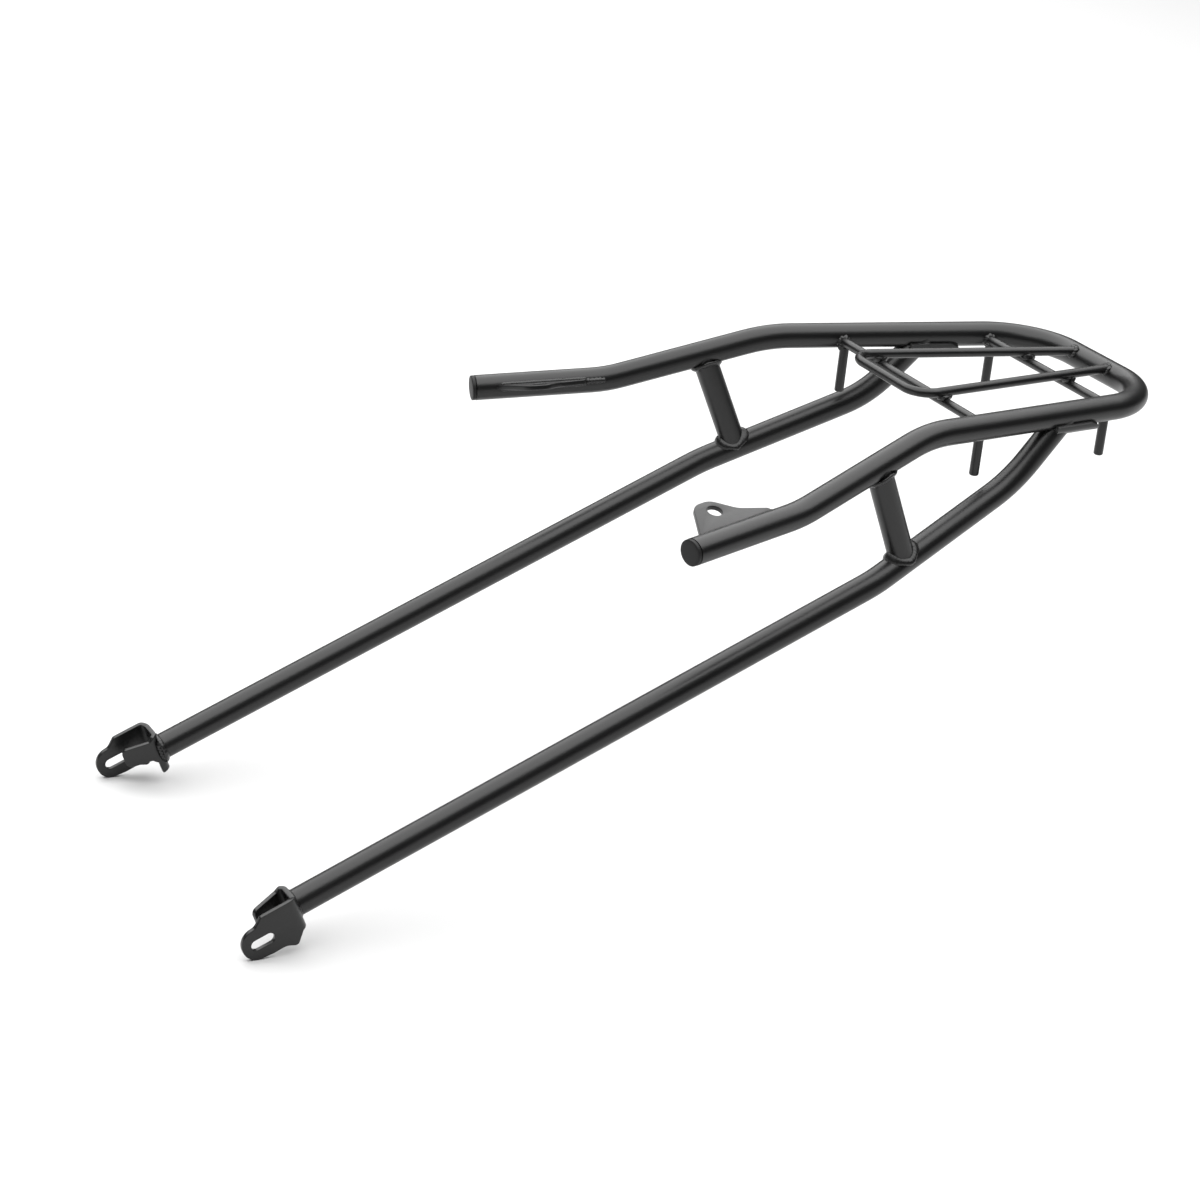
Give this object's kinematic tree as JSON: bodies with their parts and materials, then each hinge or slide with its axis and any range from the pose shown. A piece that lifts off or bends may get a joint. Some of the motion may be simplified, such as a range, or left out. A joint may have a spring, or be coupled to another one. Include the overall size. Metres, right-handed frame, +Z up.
{
  "type": "rear rack",
  "caption": "Bicycle rear rack: a bent tube hoop with forward arms on long slanted stays, slotted axle brackets, drilled tabs and a deck of thin welded rods.",
  "frame": {"origin": "midway between the centres of the two axle slots, on the line that joins them", "axes": "+X towards the closed rear end of the hoop, +Y to the right, +Z up, square to the level deck"},
  "size_m": [0.6271, 0.3004, 0.2771],
  "materials": {
    "powder_coat": "satin",
    "cap_plastic": "matte"
  },
  "bodies": {
    "root": {"hoop_tube": "powder_coat", "deck_rail": "powder_coat", "front_cross_rod": "powder_coat", "rear_cross_rod": "powder_coat", "right_end_cap": "cap_plastic", "left_end_cap": "cap_plastic", "right_arm_tab": "powder_coat", "left_arm_tab": "powder_coat", "right_stay": "powder_coat", "left_stay": "powder_coat", "right_strut": "powder_coat", "left_strut": "powder_coat", "right_axle_bracket": "powder_coat", "left_axle_bracket": "powder_coat", "right_front_peg": "powder_coat", "left_front_peg": "powder_coat", "right_rear_peg": "powder_coat", "left_rear_peg": "powder_coat"}
  },
  "joints": []
}
